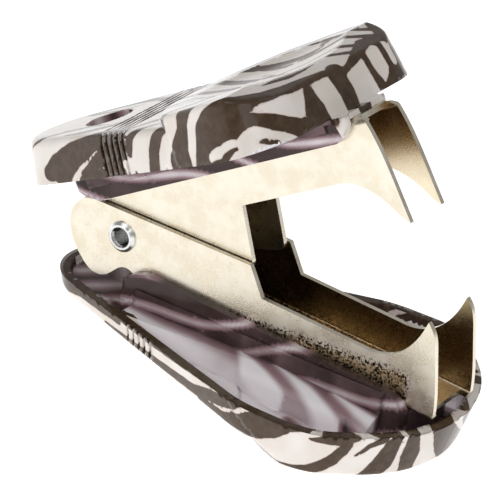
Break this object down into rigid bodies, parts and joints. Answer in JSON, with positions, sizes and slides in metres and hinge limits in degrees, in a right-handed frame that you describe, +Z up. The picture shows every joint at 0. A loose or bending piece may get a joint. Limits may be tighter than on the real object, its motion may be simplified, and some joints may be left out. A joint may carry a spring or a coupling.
{
  "type": "staple remover",
  "caption": "Hand-held staple remover: nested channel jaws with hooked fangs on a hollow rivet, held open by a torsion spring, each jaw with a moulded plastic finger grip.",
  "frame": {"origin": "centre of the bounding box in plan, at the table under the lower grip", "axes": "+X from the hinge towards the fangs, +Y across the jaws along the rivet, +Z up as it stands"},
  "size_m": [0.0768, 0.0424, 0.0508],
  "materials": {
    "plated_steel": "pale champagne zinc plating, bright stamped edges",
    "printed_plastic": "glossy cream plastic with an all-over dark brown animal-stripe print",
    "rivet_steel": "bright nickel plating",
    "spring_steel": "drawn spring wire"
  },
  "bodies": {
    "lower": {"lower_jaw": "plated_steel", "lower_grip": "printed_plastic", "pivot_rivet": "rivet_steel", "torsion_spring": "spring_steel"},
    "upper": {"upper_jaw": "plated_steel", "upper_grip": "printed_plastic"}
  },
  "joints": [
    {"name": "jaw_hinge", "type": "hinge", "parent": "lower", "child": "upper", "pos_m": [-0.01816, 0, 0.01301], "axis": [0, 1, 0], "range_deg": [0, 21], "stiffness_Nm_per_rad": 0.3, "springref_deg": -28.65, "deforming": ["torsion_spring"]}
  ]
}
